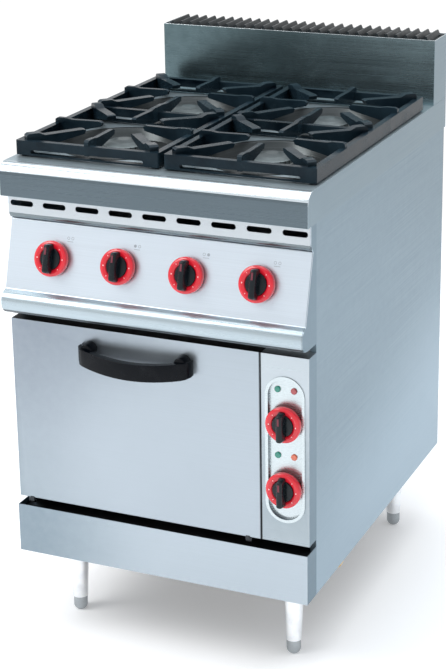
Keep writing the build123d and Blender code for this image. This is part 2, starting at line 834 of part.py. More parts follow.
# Oven control column: folded front with the opening for the bezel
column_width = side_x - column_left
with BuildPart() as oven_fascia:
    with BuildSketch(front_plane(column_x, side_front, door_mid_z)):
        Rectangle(column_width, door_height)
    extrude(amount=side_front - door_front)
    with BuildSketch(front_plane(column_x, side_front, door_mid_z)):
        Rectangle(column_width - 2 * sheet, door_height - 2 * sheet)
    extrude(amount=side_front - door_front - sheet, mode=Mode.SUBTRACT)
    with BuildSketch(front_plane(column_x, door_front, bezel_centre_z)):
        SlotOverall(bezel_height - 2 * bezel_rim, bezel_width - 2 * bezel_rim, rotation=90)
    extrude(amount=-sheet, mode=Mode.SUBTRACT)
keep(oven_fascia.part, "oven_fascia")

lamp_zs = [z + lamp_rise for z in oven_knob_z]
lamp_places = [(side * lamp_pitch / 2, z - bezel_centre_z) for z in lamp_zs for side in (-1, 1)]
with BuildPart() as oven_bezel:
    with BuildSketch(front_plane(column_x, door_front, bezel_centre_z)):
        SlotOverall(bezel_height, bezel_width, rotation=90)
    extrude(amount=sheet)
    with BuildSketch(front_plane(column_x, door_front, bezel_centre_z)):
        SlotOverall(bezel_height - 2 * bezel_rim, bezel_width - 2 * bezel_rim, rotation=90)
    extrude(amount=-bezel_depth - sheet)
    with BuildSketch(front_plane(column_x, door_front + bezel_depth, bezel_centre_z)):
        SlotOverall(bezel_height - 4 * bezel_rim, bezel_width - 4 * bezel_rim, rotation=90)
    extrude(amount=bezel_depth + sheet, mode=Mode.SUBTRACT)
    with BuildSketch(front_plane(column_x, door_front + bezel_depth, bezel_centre_z)):
        for z in oven_knob_z:
            with Locations((0, z - bezel_centre_z)):
                Circle(shaft_r + shaft_hole)
        with Locations(lamp_places):
            Circle(lamp_r - lamp_seat)
    extrude(amount=-2 * sheet, mode=Mode.SUBTRACT)
keep(oven_bezel.part, "oven_bezel")

# Lamps: domes in the bezel above each oven knob
bezel_face = door_front + bezel_depth
for side, name in ((-1, "green_lamps"), (1, "red_lamps")):
    with BuildPart() as lamps:
        for z in lamp_zs:
            lamp_plane = front_plane(column_x + side * lamp_pitch / 2, bezel_face, z)
            with BuildSketch(lamp_plane):
                Circle(lamp_r)
            extrude(amount=lamp_dome)
            with BuildSketch(lamp_plane):
                Circle(lamp_r - lamp_seat)
            extrude(amount=-sheet - lamp_depth)
        tips = lamps.faces().sort_by(Axis.Y)[:2]
        fillet(tips.edges(), lamp_tip_r)
    keep(lamps.part, name)

# Thermostats behind the bezel, with oven knobs whose shafts turn in them
oven_knob_lift = bezel_depth + sheet + knob_clearance
for i, z in enumerate(oven_knob_z, start=1):
    with BuildPart() as thermostat:
        with BuildSketch(front_plane(column_x, bezel_face + sheet, z)):
            Rectangle(thermostat_size[0], thermostat_size[1])
        extrude(amount=-thermostat_size[2])
        with BuildSketch(front_plane(column_x, bezel_face + sheet, z)):
            Circle(shaft_r + gap)
        extrude(amount=-shaft_depth, mode=Mode.SUBTRACT)
    keep(thermostat.part, f"thermostat_{i}")
    knob_shape = knob_body(front_plane(column_x, bezel_face - oven_knob_lift, z))
    with BuildPart() as oven_knob:
        add(knob_shape)
        with BuildSketch(front_plane(column_x, bezel_face - oven_knob_lift, z)):
            Circle(shaft_r)
        extrude(amount=-(oven_knob_lift + sheet + shaft_depth - valve_seat))
    keep(oven_knob.part, f"oven_knob_{i}")

# Burner castings: cup on a neck, with its mixing tube running forward to the valve
jet_y = manifold_y + manifold_r + jet_gap
tube_z = manifold_z
cup_z = worktop_z - burner_drop
with BuildPart() as burner_bodies:
    for i, (x, y) in enumerate(burner_places):
        tube_x = knob_xs[(1, 0, 2, 3)[i]]
        with BuildSketch(Plane.XZ.offset(-jet_y)):
            with Locations((tube_x, tube_z)):
                Circle(tube_r)
        extrude(amount=-(y - jet_y))
        with BuildSketch(Plane.YZ.offset(x)):
            with Locations((y, tube_z)):
                Circle(tube_r)
        extrude(amount=tube_x - x)
        with Locations((tube_x, y, tube_z)):
            Sphere(tube_r)
        with BuildSketch(Plane(origin=(x, y, 0), x_dir=(1, 0, 0), z_dir=(0, -1, 0))):
            with BuildLine():
                Polyline(
                    (0, tube_z - tube_r),
                    (burner_neck_r, tube_z - tube_r),
                    (burner_neck_r, cup_z - cup_slope),
                    (burner_cup_r, cup_z - cup_rim),
                    (burner_cup_r, cup_z),
                    (0, cup_z),
                    close=True,
                )
            make_face()
        revolve(axis=Axis((x, y, 0), (0, 0, 1)))
    with BuildSketch(Plane.XY.offset(cup_z)):
        with Locations(burner_places):
            Circle(burner_neck_r - burner_wall)
    extrude(amount=tube_z - tube_r + burner_wall - cup_z, mode=Mode.SUBTRACT)
keep(burner_bodies.part, "burner_bodies")

# Burner caps: slotted crowns that lift off the castings
cap_base = cup_z + gap
for i, (x, y) in enumerate(burner_places, start=1):
    with BuildPart() as burner_cap:
        with BuildSketch(Plane(origin=(x, y, cap_base), x_dir=(1, 0, 0), z_dir=(0, -1, 0))):
            with BuildLine():
                Polyline(
                    (0, 0),
                    (burner_cap_r, 0),
                    (burner_cap_r, lip),
                    (burner_cap_r - cap_steps[0], 1.5 * lip),
                    (burner_cap_r - cap_steps[1], 2 * lip),
                    (cap_steps[1], cap_height),
                    (0, cap_height),
                    close=True,
                )
            make_face()
        revolve(axis=Axis((x, y, 0), (0, 0, 1)))
        with BuildSketch(Plane.XY.offset(cap_base)):
            with Locations((x, y)):
                with PolarLocations(burner_cap_r, cap_slot_count):
                    Rectangle(2 * lip, cap_slot_width)
        extrude(amount=lip, mode=Mode.SUBTRACT)
    keep(burner_cap.part, f"burner_cap_{i}")

# Grates: cast frames with a middle bar and eight fingers over each burner
grate_z = worktop_z + grate_base
frame_top_z = grate_z + bar_height
finger_top_z = frame_top_z + finger_rise
grate_mid_y = front + burner_mid_y
cell_half_x = grate_width / 2 - grate_bar
cell_half_y = (burner_pitch_y - grate_bar) / 2
corner_reach = (cell_half_x**2 + cell_half_y**2) ** 0.5


def finger(centre, angle, reach, shape):
    """One upright finger from the frame to its pointed tip, aimed at a burner."""
    tip, dip, width = shape
    radial = (cos(radians(angle)), sin(radians(angle)), 0)
    across = (sin(radians(angle)), -cos(radians(angle)), 0)
    with BuildPart() as bar:
        with BuildSketch(Plane(origin=centre, x_dir=radial, z_dir=across)):
            with BuildLine():
                Polyline(
                    (reach + grate_bar * 0.8, grate_z + 8),
                    (reach + grate_bar * 0.8, finger_top_z - 3),
                    (reach + grate_bar * 0.4, finger_top_z),
                    (reach - 14, finger_top_z),
                    (reach - 26, finger_top_z - dip),
                    (tip + 6, finger_top_z - dip / 2),
                    (tip, finger_top_z - 4),
                    (tip + 3, finger_top_z - 11),
                    (reach - 18, grate_z + 9),
                    (reach, grate_z + 8),
                    close=True,
                )
            make_face()
        extrude(amount=width / 2, both=True)
    return bar.part


corner = degrees(atan2(cell_half_y, cell_half_x))
for side, name in ((-1, "left_grate"), (1, "right_grate")):
    fingers = []
    for cell in (-1, 1):
        y = grate_mid_y + cell * burner_pitch_y / 2
        for turn in range(4):
            reach = cell_half_x if turn % 2 == 0 else cell_half_y
            fingers.append(finger((side * burner_x, y), 90 * turn, reach, straight_fin))
        for angle in (corner, 180 - corner, 180 + corner, -corner):
            reach = corner_reach - grate_bar
            fingers.append(finger((side * burner_x, y), angle, reach, diagonal_fin))
    with BuildPart() as grate:
        with BuildSketch(Plane.XY.offset(grate_z)):
            with Locations((side * burner_x, grate_mid_y)):
                Rectangle(grate_width, grate_length)
                with GridLocations(0, burner_pitch_y, 1, 2):
                    Rectangle(2 * cell_half_x, 2 * cell_half_y, mode=Mode.SUBTRACT)
        extrude(amount=bar_height)
        fillet(grate.edges().filter_by(Axis.Z), grate_corner_r)
        with BuildSketch(front_plane(side * burner_x, grate_mid_y, grate_z + frame_slot_height)):
            SlotOverall(grate_width - frame_slot_margin, frame_slot_height)
        extrude(amount=grate_length, both=True, mode=Mode.SUBTRACT)
        with BuildSketch(Plane.XY.offset(grate_z)):
            with Locations((side * burner_x, grate_mid_y)):
                with GridLocations(grate_width - 2 * grate_bar, grate_length - 2 * grate_bar, 2, 2):
                    Circle(grate_bar / 2)
        extrude(amount=gap - grate_base)
        add(fingers)
    keep(grate.part, name)

# Legs: tapered tubes with a top flange, bored for the levelling stems
for i, (x, y) in enumerate(leg_places, start=1):
    axis_plane = Plane(origin=(x, y, 0), x_dir=(1, 0, 0), z_dir=(0, -1, 0))
    with BuildPart() as leg:
        with BuildSketch(axis_plane):
            with BuildLine():
                Polyline(
                    (stem_r + gap, foot_height + gap),
                    (leg_foot_r, foot_height + gap),
                    (leg_top_r, leg_height - leg_taper_drop),
                    (leg_top_r, leg_height - leg_flange),
                    (leg_top_r + leg_flange_width, leg_height - leg_flange),
                    (leg_top_r + leg_flange_width, leg_height),
                    (stem_r + gap, leg_height),
                    close=True,
                )
            make_face()
        revolve(axis=Axis((x, y, 0), (0, 0, 1)))
    keep(leg.part, f"leg_{i}")
    with BuildPart() as foot:
        with BuildSketch(axis_plane):
            with BuildLine():
                Polyline((0, 0), (foot_tip_r, 0))
                RadiusArc((foot_tip_r, 0), (foot_r, foot_shoulder), -foot_curve)
                Polyline(
                    (foot_r, foot_shoulder),
                    (foot_r, foot_height),
                    (stem_r, foot_height),
                    (stem_r, foot_height + stem_length),
                    (0, foot_height + stem_length),
                    (0, 0),
                )
            make_face()
        revolve(axis=Axis((x, y, 0), (0, 0, 1)))
    keep(foot.part, f"foot_{i}")

# Cable gland in the back panel, for a supply lead that isn't part of the model
with BuildPart() as cable_gland:
    with BuildSketch(front_plane(gland_x, back, gland_z)):
        RegularPolygon(gland_nut_side, 6)
        Circle(gland_bore_r, mode=Mode.SUBTRACT)
    extrude(amount=-gland_nut)
    with BuildSketch(front_plane(gland_x, back, gland_z)):
        Circle(gland_r)
        Circle(gland_bore_r, mode=Mode.SUBTRACT)
    extrude(amount=gland_length)
keep(cable_gland.part, "cable_gland")
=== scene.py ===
import bpy
import json
from math import cos, pi, radians, sin
from mathutils import Matrix, Vector


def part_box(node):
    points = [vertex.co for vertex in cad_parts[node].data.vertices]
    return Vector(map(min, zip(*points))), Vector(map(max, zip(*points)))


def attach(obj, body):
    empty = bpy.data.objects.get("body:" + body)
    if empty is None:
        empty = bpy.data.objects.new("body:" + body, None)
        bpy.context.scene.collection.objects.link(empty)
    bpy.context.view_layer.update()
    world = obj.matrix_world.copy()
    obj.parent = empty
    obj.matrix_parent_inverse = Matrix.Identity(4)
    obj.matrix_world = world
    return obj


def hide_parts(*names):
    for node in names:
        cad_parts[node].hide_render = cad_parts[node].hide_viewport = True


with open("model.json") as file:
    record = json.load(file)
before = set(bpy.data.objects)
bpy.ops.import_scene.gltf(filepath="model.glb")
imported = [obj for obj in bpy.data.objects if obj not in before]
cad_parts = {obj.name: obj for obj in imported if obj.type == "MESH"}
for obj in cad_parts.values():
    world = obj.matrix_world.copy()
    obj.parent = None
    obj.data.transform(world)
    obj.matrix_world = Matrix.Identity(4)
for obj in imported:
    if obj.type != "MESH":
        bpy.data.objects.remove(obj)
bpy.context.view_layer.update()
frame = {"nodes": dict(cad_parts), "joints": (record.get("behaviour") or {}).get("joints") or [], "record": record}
bodyOf = {node: body for body, nodes in frame["record"]["behaviour"]["bodies"].items() for node in nodes}
print("frame loaded:", len(frame["nodes"]), "nodes")


def clearSelection():
    if bpy.context.object and bpy.context.object.mode != "OBJECT":
        bpy.ops.object.mode_set(mode="OBJECT")
    for thing in bpy.context.selected_objects:
        thing.select_set(False)


def makeActive(piece):
    clearSelection()
    bpy.context.view_layer.objects.active = piece
    piece.select_set(True)


def selectFaces(piece, test):
    # selects faces by place or normal, in object mode
    mesh = piece.data
    for point in mesh.vertices:
        point.select = False
    for edge in mesh.edges:
        edge.select = False
    for face in mesh.polygons:
        face.select = bool(test(face))


def editFaces(piece, test, work):
    makeActive(piece)
    selectFaces(piece, test)
    bpy.ops.object.mode_set(mode="EDIT")
    bpy.ops.mesh.select_mode(type="FACE")
    work()
    bpy.ops.object.mode_set(mode="OBJECT")


def finishPiece(piece, name, body, material=None, smooth=30):
    # settles the mesh in place, smooths it and tells the frame where it belongs
    makeActive(piece)
    bpy.ops.object.transform_apply(location=True, rotation=True, scale=True)
    if smooth:
        bpy.ops.object.shade_smooth_by_angle(angle=radians(smooth))
    piece.name = name
    piece.data.name = name
    if material:
        piece.data.materials.clear()
        piece.data.materials.append(material)
    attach(piece, body)
    return piece


def applyBevel(piece, width, segments=2, angle=32):
    makeActive(piece)
    bevel = piece.modifiers.new("edges", "BEVEL")
    bevel.width = width
    bevel.segments = segments
    bevel.limit_method = "ANGLE"
    bevel.angle_limit = radians(angle)
    bpy.ops.object.modifier_apply(modifier=bevel.name)


def settleNormals(piece):
    # broad faces keep their own normals beside a rounded edge
    makeActive(piece)
    weigh = piece.modifiers.new("normals", "WEIGHTED_NORMAL")
    weigh.mode = "FACE_AREA"
    weigh.weight = 80
    weigh.keep_sharp = True
    bpy.ops.object.modifier_apply(modifier=weigh.name)


def placedCopy(source, matrix, name):
    # a copy with its own mesh, set in place by a matrix
    mesh = source.data.copy()
    mesh.transform(matrix)
    piece = bpy.data.objects.new(name, mesh)
    bpy.context.collection.objects.link(piece)
    return piece


def softened(node, width, material):
    # a merged copy of a CAD node with rounded edges, which stands for it
    piece = placedCopy(frame["nodes"][node], Matrix(), node + "_shell")
    makeActive(piece)
    if piece.data.has_custom_normals:
        bpy.ops.mesh.customdata_custom_splitnormals_clear()
    bpy.ops.object.mode_set(mode="EDIT")
    bpy.ops.mesh.select_all(action="SELECT")
    bpy.ops.mesh.remove_doubles(threshold=0.00002)
    bpy.ops.mesh.dissolve_limited(angle_limit=radians(1))
    bpy.ops.object.mode_set(mode="OBJECT")
    if width:
        applyBevel(piece, width)
    finishPiece(piece, node + "_shell", bodyOf[node], material)
    settleNormals(piece)
    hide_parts(node)
    return piece


def paintFaces(piece, material, test):
    # gives the faces that pass the test a finish of their own
    piece.data.materials.append(material)
    number = len(piece.data.materials) - 1
    for face in piece.data.polygons:
        if test(face):
            face.material_index = number


def joinPieces(pieces):
    makeActive(pieces[0])
    for other in pieces:
        other.select_set(True)
    bpy.ops.object.join()
    return pieces[0]


def newGroup(name, inputs, outputs):
    group = bpy.data.node_groups.new(name, "ShaderNodeTree")
    for label, kind, value in inputs:
        socket = group.interface.new_socket(name=label, in_out="INPUT", socket_type=kind)
        socket.default_value = value
    for label, kind in outputs:
        group.interface.new_socket(name=label, in_out="OUTPUT", socket_type=kind)
    nodes = group.nodes
    return group, nodes.new("NodeGroupInput"), nodes.new("NodeGroupOutput")


def mathNode(tree, operation, a, b=None):
    node = tree.nodes.new("ShaderNodeMath")
    node.operation = operation
    for socket, value in zip(node.inputs, (a, b)):
        if value is None:
            continue
        if isinstance(value, (int, float)):
            socket.default_value = value
        else:
            tree.links.new(value, socket)
    return node.outputs[0]


def rampNode(tree, source, low, high, lowOut=0.0, highOut=1.0):
    node = tree.nodes.new("ShaderNodeMapRange")
    tree.links.new(source, node.inputs["Value"])
    node.inputs["From Min"].default_value = low
    node.inputs["From Max"].default_value = high
    node.inputs["To Min"].default_value = lowOut
    node.inputs["To Max"].default_value = highOut
    return node.outputs["Result"]


def noiseNode(tree, vector, scale, detail=4.0, roughness=0.55):
    node = tree.nodes.new("ShaderNodeTexNoise")
    node.inputs["Scale"].default_value = scale
    node.inputs["Detail"].default_value = detail
    node.inputs["Roughness"].default_value = roughness
    tree.links.new(vector, node.inputs["Vector"])
    return node.outputs["Fac"]


def stretched(tree, vector, scale):
    node = tree.nodes.new("ShaderNodeMapping")
    node.inputs["Scale"].default_value = scale
    tree.links.new(vector, node.inputs["Vector"])
    return node.outputs["Vector"]


def mixColour(tree, factor, a, b):
    node = tree.nodes.new("ShaderNodeMix")
    node.data_type = "RGBA"
    for socket, value in ((node.inputs[0], factor), (node.inputs[6], a), (node.inputs[7], b)):
        if isinstance(value, (int, float)):
            socket.default_value = value
        elif isinstance(value, (tuple, list)):
            socket.default_value = (*value[:3], 1)
        else:
            tree.links.new(value, socket)
    return node.outputs[2]


def makeBrushedGroup():
    # polishing lines that run from side to side, on upright sheets and on flat ones
    group, enter, leave = newGroup(
        "brushedLines",
        [("Strength", "NodeSocketFloat", 1.0)],
        [("Lines", "NodeSocketFloat"), ("Cloud", "NodeSocketFloat")],
    )
    coords = group.nodes.new("ShaderNodeTexCoord")
    place = coords.outputs["Object"]
    wide = stretched(group, place, (3, 3, 700))
    flat = stretched(group, place, (3, 700, 3))
    fine = noiseNode(group, wide, 1.0, 3)
    fineFlat = noiseNode(group, flat, 1.0, 3)
    split = group.nodes.new("ShaderNodeSeparateXYZ")
    group.links.new(coords.outputs["Normal"], split.inputs[0])
    upward = mathNode(group, "GREATER_THAN", mathNode(group, "ABSOLUTE", split.outputs["Z"]), 0.8)
    mixed = group.nodes.new("ShaderNodeMix")
    group.links.new(upward, mixed.inputs[0])
    group.links.new(fine, mixed.inputs[2])
    group.links.new(fineFlat, mixed.inputs[3])
    lines = mathNode(group, "MULTIPLY", mixed.outputs[0], enter.outputs["Strength"])
    cloud = noiseNode(group, place, 4.5, 3)
    group.links.new(lines, leave.inputs["Lines"])
    group.links.new(cloud, leave.inputs["Cloud"])
    return group


def makeWearGroup():
    # brighter edges where the finish rubs, broken up by noise
    group, enter, leave = newGroup(
        "edgeRub",
        [("Low", "NodeSocketFloat", 0.52), ("High", "NodeSocketFloat", 0.62)],
        [("Mask", "NodeSocketFloat")],
    )
    geometry = group.nodes.new("ShaderNodeNewGeometry")
    coords = group.nodes.new("ShaderNodeTexCoord")
    grain = noiseNode(group, coords.outputs["Object"], 60.0, 5)
    worn = mathNode(group, "ADD", geometry.outputs["Pointiness"], mathNode(group, "MULTIPLY", grain, 0.06))
    spread = group.nodes.new("ShaderNodeMapRange")
    group.links.new(worn, spread.inputs["Value"])
    group.links.new(enter.outputs["Low"], spread.inputs["From Min"])
    group.links.new(enter.outputs["High"], spread.inputs["From Max"])
    group.links.new(spread.outputs["Result"], leave.inputs["Mask"])
    return group


def makeDustGroup():
    # faint finger marks and settled dust
    group, enter, leave = newGroup(
        "handMarks",
        [("Amount", "NodeSocketFloat", 0.5), ("Size", "NodeSocketFloat", 14.0)],
        [("Mask", "NodeSocketFloat")],
    )
    coords = group.nodes.new("ShaderNodeTexCoord")
    node = group.nodes.new("ShaderNodeTexNoise")
    node.inputs["Detail"].default_value = 6
    node.inputs["Roughness"].default_value = 0.65
    group.links.new(coords.outputs["Object"], node.inputs["Vector"])
    group.links.new(enter.outputs["Size"], node.inputs["Scale"])
    patchy = rampNode(group, node.outputs["Fac"], 0.48, 0.74)
    group.links.new(mathNode(group, "MULTIPLY", patchy, enter.outputs["Amount"]), leave.inputs["Mask"])
    return group


brushedLines = makeBrushedGroup()
edgeRub = makeWearGroup()
handMarks = makeDustGroup()


def groupNode(tree, group, **values):
    node = tree.nodes.new("ShaderNodeGroup")
    node.node_tree = group
    for label, value in values.items():
        node.inputs[label].default_value = value
    return node


def newMaterial(name, colour, metallic, roughness, **shader):
    material = bpy.data.materials.new(name)
    material.use_nodes = True
    tree = material.node_tree
    surface = tree.nodes["Principled BSDF"]
    surface.inputs["Base Color"].default_value = (*colour, 1)
    surface.inputs["Metallic"].default_value = metallic
    surface.inputs["Roughness"].default_value = roughness
    for label, value in shader.items():
        surface.inputs[label.replace("_", " ")].default_value = value
    return material, tree, surface


def addBump(tree, surface, height, strength, distance):
    bump = tree.nodes.new("ShaderNodeBump")
    bump.inputs["Strength"].default_value = strength
    bump.inputs["Distance"].default_value = distance
    tree.links.new(height, bump.inputs["Height"])
    tree.links.new(bump.outputs["Normal"], surface.inputs["Normal"])


def shade(colour, factor):
    return tuple(min(1, c * factor) for c in colour)


def fadeMask(tree, direction, low, high):
    # 0 to 1 along a direction of the object's own space
    coords = tree.nodes.new("ShaderNodeTexCoord")
    dot = tree.nodes.new("ShaderNodeVectorMath")
    dot.operation = "DOT_PRODUCT"
    dot.inputs[1].default_value = direction
    tree.links.new(coords.outputs["Object"], dot.inputs[0])
    ramp = tree.nodes.new("ShaderNodeMapRange")
    ramp.interpolation_type = "SMOOTHSTEP"
    tree.links.new(dot.outputs["Value"], ramp.inputs["Value"])
    ramp.inputs["From Min"].default_value = low
    ramp.inputs["From Max"].default_value = high
    return ramp.outputs["Result"]


sheetFinish = {"metallic": 0.9, "lines": 1.0, "markSize": 9.0, "rubLow": 0.53, "rubHigh": 0.66,
               "roughSpread": 0.12, "markRoughness": 0.12, "bump": 0.12, "bumpDepth": 0.0002}


def brushedSteel(name, colour, roughness, marks=0.35, tint=0.08, shadeFades=()):
    # stainless sheet: polishing lines, clouded reflections, faint finger marks, and painted shade where the fades
    # darken it towards one side
    f = sheetFinish
    material, tree, surface = newMaterial(name, colour, f["metallic"], roughness)
    lines = groupNode(tree, brushedLines, Strength=f["lines"])
    hand = groupNode(tree, handMarks, Amount=marks, Size=f["markSize"])
    rub = groupNode(tree, edgeRub, Low=f["rubLow"], High=f["rubHigh"])
    dark = shade(colour, 1 - tint)
    light = shade(colour, 1 + tint)
    brushed = mixColour(tree, rampNode(tree, lines.outputs["Lines"], 0.3, 0.7), dark, light)
    clouded = mixColour(tree, rampNode(tree, lines.outputs["Cloud"], 0.35, 0.7, 0, 0.5), brushed, dark)
    # painted shade: each fade darkens the sheet towards one side, or paints a gap shadow along a seam
    for direction, low, high, shadeTone in shadeFades:
        clouded = mixColour(tree, fadeMask(tree, direction, low, high), clouded, shadeTone)
    edged = mixColour(tree, mathNode(tree, "MULTIPLY", rub.outputs["Mask"], 0.5), clouded, light)
    tree.links.new(edged, surface.inputs["Base Color"])
    smoothest = roughness - f["roughSpread"] / 2
    roughest = roughness + f["roughSpread"] / 2
    lined = rampNode(tree, lines.outputs["Lines"], 0.3, 0.7, smoothest, roughest)
    marked = mathNode(tree, "MULTIPLY", hand.outputs["Mask"], f["markRoughness"])
    tree.links.new(mathNode(tree, "ADD", lined, marked), surface.inputs["Roughness"])
    addBump(tree, surface, lines.outputs["Lines"], f["bump"], f["bumpDepth"])
    return material


enamelFinish = {"grain": 900.0, "blotch": 22.0, "rubLow": 0.52, "rubHigh": 0.60, "rubShine": 2.2,
                "bump": 0.35, "bumpDepth": 0.0004}


def castEnamel(name, colour, shine, roughness, worn=0.5, specular=0.35, metallic=0.2):
    # cast iron under enamel: pitted skin, bright rubbed edges, dull patches
    f = enamelFinish
    material, tree, surface = newMaterial(name, colour, metallic, roughness, Specular_IOR_Level=specular)
    coords = tree.nodes.new("ShaderNodeTexCoord").outputs["Object"]
    pits = noiseNode(tree, coords, f["grain"], 3)
    blotch = noiseNode(tree, coords, f["blotch"], 5)
    rub = groupNode(tree, edgeRub, Low=f["rubLow"], High=f["rubHigh"])
    mottled = mixColour(tree, rampNode(tree, blotch, 0.35, 0.7), colour, shine)
    rubbed = mathNode(tree, "MULTIPLY", rub.outputs["Mask"], worn)
    worked = mixColour(tree, rubbed, mottled, shade(shine, f["rubShine"]))
    tree.links.new(worked, surface.inputs["Base Color"])
    patchy = rampNode(tree, blotch, 0.3, 0.75, roughness - 0.1, roughness + 0.14)
    tree.links.new(patchy, surface.inputs["Roughness"])
    skin = mathNode(tree, "ADD", pits, mathNode(tree, "MULTIPLY", blotch, 0.6))
    addBump(tree, surface, skin, f["bump"], f["bumpDepth"])
    return material


plasticFinish = {"coatRoughness": 0.06, "peel": 520.0, "markSize": 40.0, "markAmount": 0.6,
                 "dullGain": 1.25, "dullLift": 0.008, "markRoughness": 0.18}


def mouldedPlastic(name, colour, roughness, coat=0.0, specular=0.5):
    # moulded plastic: fine orange peel and a little handling dullness
    f = plasticFinish
    shine = {"Coat_Weight": coat, "Coat_Roughness": f["coatRoughness"], "Specular_IOR_Level": specular}
    material, tree, surface = newMaterial(name, colour, 0.0, roughness, **shine)
    coords = tree.nodes.new("ShaderNodeTexCoord").outputs["Object"]
    peel = noiseNode(tree, coords, f["peel"], 2)
    hand = groupNode(tree, handMarks, Amount=f["markAmount"], Size=f["markSize"])
    dull = tuple(min(1, c * f["dullGain"] + f["dullLift"]) for c in colour)
    tree.links.new(mixColour(tree, hand.outputs["Mask"], colour, dull), surface.inputs["Base Color"])
    marked = mathNode(tree, "MULTIPLY", hand.outputs["Mask"], f["markRoughness"])
    tree.links.new(mathNode(tree, "ADD", marked, roughness), surface.inputs["Roughness"])
    addBump(tree, surface, peel, 0.06, 0.0002)
    return material


plateFinish = {"swirl": 35.0, "grain": 300.0, "darker": 0.84, "rougher": 0.08}


def polishedMetal(name, colour, roughness):
    # plated or turned metal with faint swirl and clouding
    f = plateFinish
    material, tree, surface = newMaterial(name, colour, 1.0, roughness)
    coords = tree.nodes.new("ShaderNodeTexCoord").outputs["Object"]
    swirl = noiseNode(tree, coords, f["swirl"], 6)
    clouded = mixColour(tree, rampNode(tree, swirl, 0.4, 0.7), colour, shade(colour, f["darker"]))
    tree.links.new(clouded, surface.inputs["Base Color"])
    dulled = rampNode(tree, swirl, 0.35, 0.7, roughness, roughness + f["rougher"])
    tree.links.new(dulled, surface.inputs["Roughness"])
    addBump(tree, surface, noiseNode(tree, coords, f["grain"], 2), 0.03, 0.0002)
    return material


def lampLens(name, colour, glow):
    # ribbed signal lens with a weak light inside
    material, tree, surface = newMaterial(name, colour, 0.0, 0.16, Coat_Weight=0.8)
    coords = tree.nodes.new("ShaderNodeTexCoord").outputs["Object"]
    rings = noiseNode(tree, coords, 240.0, 2)
    body = mixColour(tree, rings, shade(colour, 0.7), shade(colour, 1.3))
    tree.links.new(body, surface.inputs["Base Color"])
    lit = mixColour(tree, rings, colour, shade(colour, 1.2))
    tree.links.new(lit, surface.inputs["Emission Color"])
    surface.inputs["Emission Strength"].default_value = glow
    addBump(tree, surface, rings, 0.1, 0.0004)
    return material


def woolFibre(name, colour, scale, roughness=0.9):
    # mineral wool or woven seal
    material, tree, surface = newMaterial(name, colour, 0.0, roughness)
    coords = tree.nodes.new("ShaderNodeTexCoord").outputs["Object"]
    fibre = noiseNode(tree, stretched(tree, coords, (1, 4, 1)), scale, 8, 0.7)
    tree.links.new(mixColour(tree, fibre, shade(colour, 0.7), colour), surface.inputs["Base Color"])
    addBump(tree, surface, fibre, 0.6, 0.001)
    return material


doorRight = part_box("door_outer")[1][0]
# painted shadow of the gap: dark edges on both sides of the seam between door and column
seam = {"doorFrom": 0.0022, "doorTo": 0.0012, "columnFrom": 0.0038, "columnTo": 0.0030}
gapShadowColour = (0.006, 0.008, 0.010)
steelPanel = brushedSteel("panelSheet", (0.63, 0.70, 0.77), 0.34, marks=0.3, tint=0.04)
# painted shade: the door sheet darkens towards its upper left and lower left, with a painted gap shadow at its
# right edge
steelDoorShaded = brushedSteel("doorSheetShaded", (0.38, 0.43, 0.475), 0.34, marks=0.3, tint=0.05, shadeFades=[
    ((-0.7, 0, 0.5), 0.25, 0.50, (0.19, 0.22, 0.26)), ((-0.6, 0, -0.5), -0.12, 0.08, (0.23, 0.28, 0.31)),
    ((1, 0, 0), doorRight - seam["doorFrom"], doorRight - seam["doorTo"], gapShadowColour)])
# painted shade: the column sheet darkens towards its foot, with a painted gap shadow at its left edge
steelColumnShaded = brushedSteel("columnSheetShaded", (0.46, 0.51, 0.545), 0.32, marks=0.3, tint=0.04, shadeFades=[
    ((0, 0, -1), -0.58, -0.42, (0.29, 0.34, 0.37)),
    ((-1, 0, 0), -doorRight - seam["columnFrom"], -doorRight - seam["columnTo"], gapShadowColour)])
# painted shade: the kickplate darkens towards its left end
steelKickShaded = brushedSteel("kickSheetShaded", (0.40, 0.455, 0.50), 0.33, marks=0.3, tint=0.05, shadeFades=[
    ((-1, 0, 0), -0.02, 0.28, (0.165, 0.22, 0.26))])
# painted shade: the side sheets darken towards the top
steelSideShaded = brushedSteel("sideSheetShaded", (0.33, 0.425, 0.495), 0.40, marks=0.2, tint=0.04, shadeFades=[
    ((0, -0.2, 1), 0.20, 0.56, (0.175, 0.24, 0.285))])
# painted shade: dark copy of the sheet steel for the side returns
returnShadeSteel = brushedSteel("returnSheetShade", (0.15, 0.22, 0.27), 0.34, marks=0.2, tint=0.06)
# painted shade: dark copy of the sheet steel for the worktop's flat front
apronShadeSteel = brushedSteel("apronSheetShade", (0.115, 0.148, 0.170), 0.30, marks=0.2, tint=0.06)
# painted shade: darker copy of the sheet steel for the side faces of worktop and splashback
sideEdgeShadeSteel = brushedSteel("apronSideShade", (0.20, 0.27, 0.315), 0.34, marks=0.2, tint=0.05)
steelTop = brushedSteel("topSheet", (0.42, 0.50, 0.54), 0.44, marks=0.3, tint=0.06)
# painted highlight: bright copy of the sheet steel for the worktop's bullnose
noseHighlightSteel = brushedSteel("bullnoseHighlight", (0.72, 0.79, 0.83), 0.22, marks=0.2, tint=0.04)
# painted shade: darker copy of the panel steel for its lower nose
tubeShadeSteel = brushedSteel("noseTubeShade", (0.40, 0.47, 0.51), 0.30, marks=0.2, tint=0.04)
# painted shade: near black copy of the sheet steel for the faces under the nose
underNoseShadeSteel = brushedSteel("noseUnderShade", (0.085, 0.10, 0.11), 0.30, marks=0.2, tint=0.04)
# painted shade: the flue wall darkens towards the left
steelSplashShaded = brushedSteel("flueSheetShaded", (0.22, 0.30, 0.325), 0.24, marks=0.6, tint=0.30, shadeFades=[
    ((-1, 0, 0), -0.30, 0.06, (0.034, 0.062, 0.070))])
